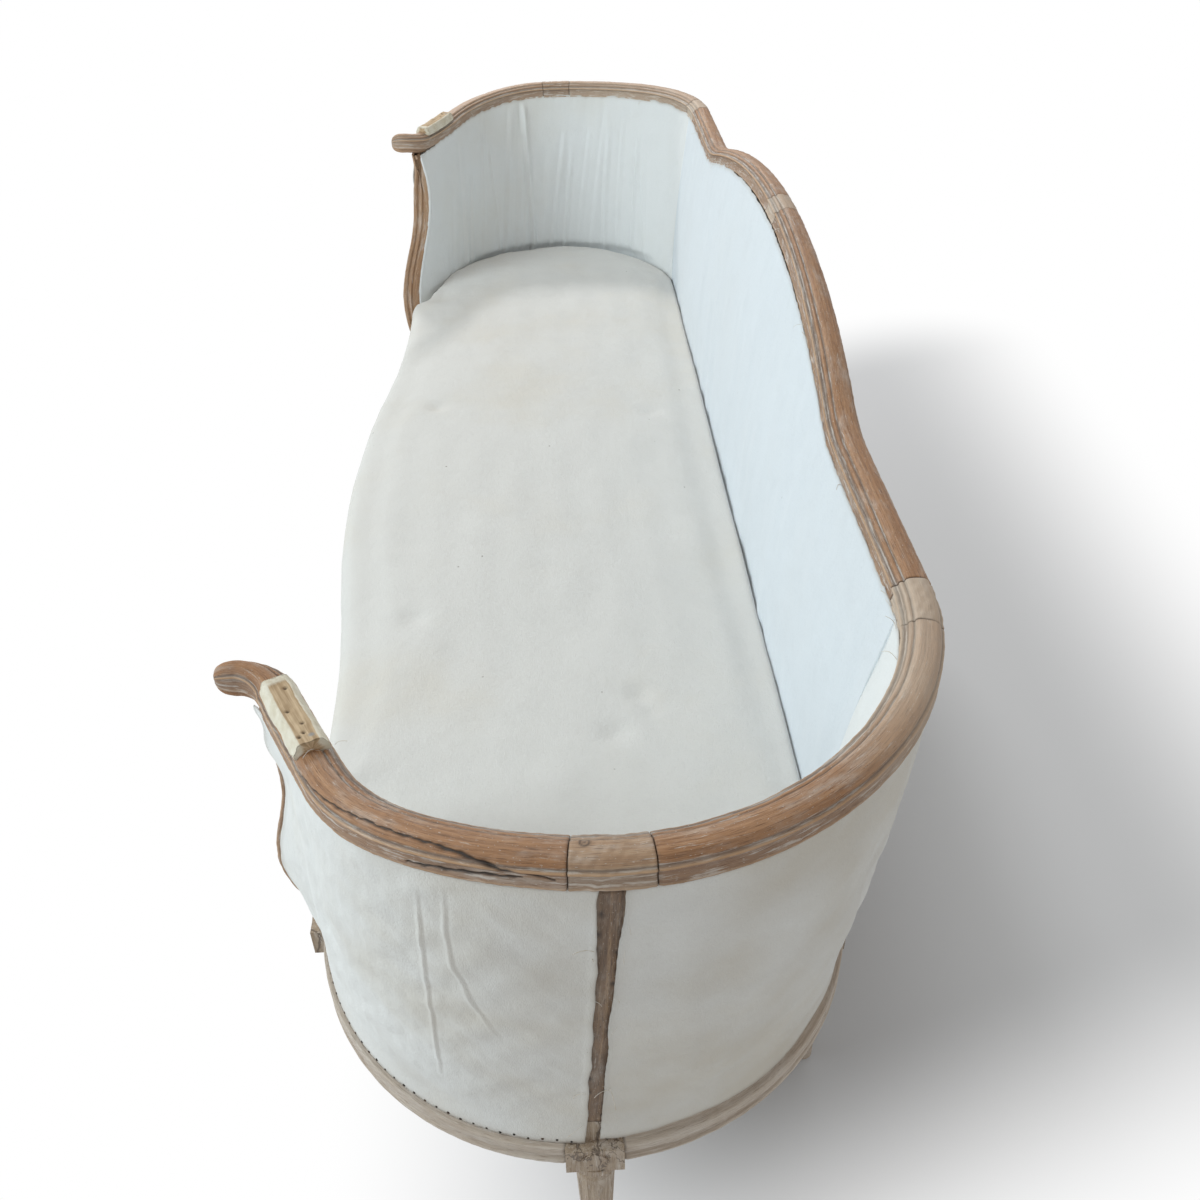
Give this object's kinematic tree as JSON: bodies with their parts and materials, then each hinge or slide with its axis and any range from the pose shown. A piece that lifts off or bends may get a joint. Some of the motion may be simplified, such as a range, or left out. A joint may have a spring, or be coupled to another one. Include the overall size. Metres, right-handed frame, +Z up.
{
  "type": "tub sofa",
  "caption": "Long tub sofa with a continuous moulded wooden top rail on posts, round ends, a serpentine front, fluted legs and a stuffed seat and walls in plain calico.",
  "frame": {"origin": "on the floor, under the middle of the sofa's box", "axes": "+X along the sofa to the right as seen from its front, -Y towards the sofa's front, +Z up"},
  "size_m": [2.318, 0.7251, 0.8925],
  "materials": {
    "top_rail_wood": "stripped, dry, with pale residue in the mouldings",
    "seat_frame_wood": "stripped, dry, with pale residue in the mouldings",
    "arm_pad_wood": "raw wood with pale old paint on its edges",
    "inner_wood": "raw wood",
    "seat_calico": "plain matt cotton",
    "inside_calico": "plain matt cotton",
    "outside_calico": "plain matt cotton",
    "webbing": "woven jute",
    "hessian": "coarse jute cloth",
    "tack_steel": "blued, dull"
  },
  "bodies": {
    "root": {"arm_pad_base_left": "arm_pad_wood", "arm_pad_base_right": "arm_pad_wood", "arm_rail_left": "top_rail_wood", "arm_rail_right": "top_rail_wood", "back_centre_leg": "seat_frame_wood", "back_centre_post": "top_rail_wood", "back_corner_leg_left": "seat_frame_wood", "back_corner_leg_right": "seat_frame_wood", "back_corner_post_left": "top_rail_wood", "back_corner_post_right": "top_rail_wood", "back_seat_rail_left": "seat_frame_wood", "back_seat_rail_right": "seat_frame_wood", "cover_tacks": "tack_steel", "crest_rail_left": "top_rail_wood", "crest_rail_right": "top_rail_wood", "end_leg_left": "seat_frame_wood", "end_leg_right": "seat_frame_wood", "end_post_left": "top_rail_wood", "end_post_right": "top_rail_wood", "end_seat_rail_back_left": "seat_frame_wood", "end_seat_rail_back_right": "seat_frame_wood", "end_seat_rail_front_left": "seat_frame_wood", "end_seat_rail_front_right": "seat_frame_wood", "front_centre_leg": "seat_frame_wood", "front_leg_left": "seat_frame_wood", "front_leg_right": "seat_frame_wood", "front_post_left": "top_rail_wood", "front_post_right": "top_rail_wood", "front_seat_rail_left": "seat_frame_wood", "front_seat_rail_right": "seat_frame_wood", "inside_arm_left": "inside_calico", "inside_arm_right": "inside_calico", "inside_back_left": "inside_calico", "inside_back_right": "inside_calico", "inside_shoulder_left": "inside_calico", "inside_shoulder_right": "inside_calico", "joint_pegs": "inner_wood", "outside_arm_left": "outside_calico", "outside_arm_right": "outside_calico", "outside_back_left": "outside_calico", "outside_back_right": "outside_calico", "outside_shoulder_left": "outside_calico", "outside_shoulder_right": "outside_calico", "seat_brace": "inner_wood", "seat_hessian": "hessian", "seat_pad": "seat_calico", "seat_webbing_across": "webbing", "seat_webbing_along": "webbing", "shoulder_rail_left": "top_rail_wood", "shoulder_rail_right": "top_rail_wood", "wall_webbing": "webbing"}
  },
  "joints": []
}
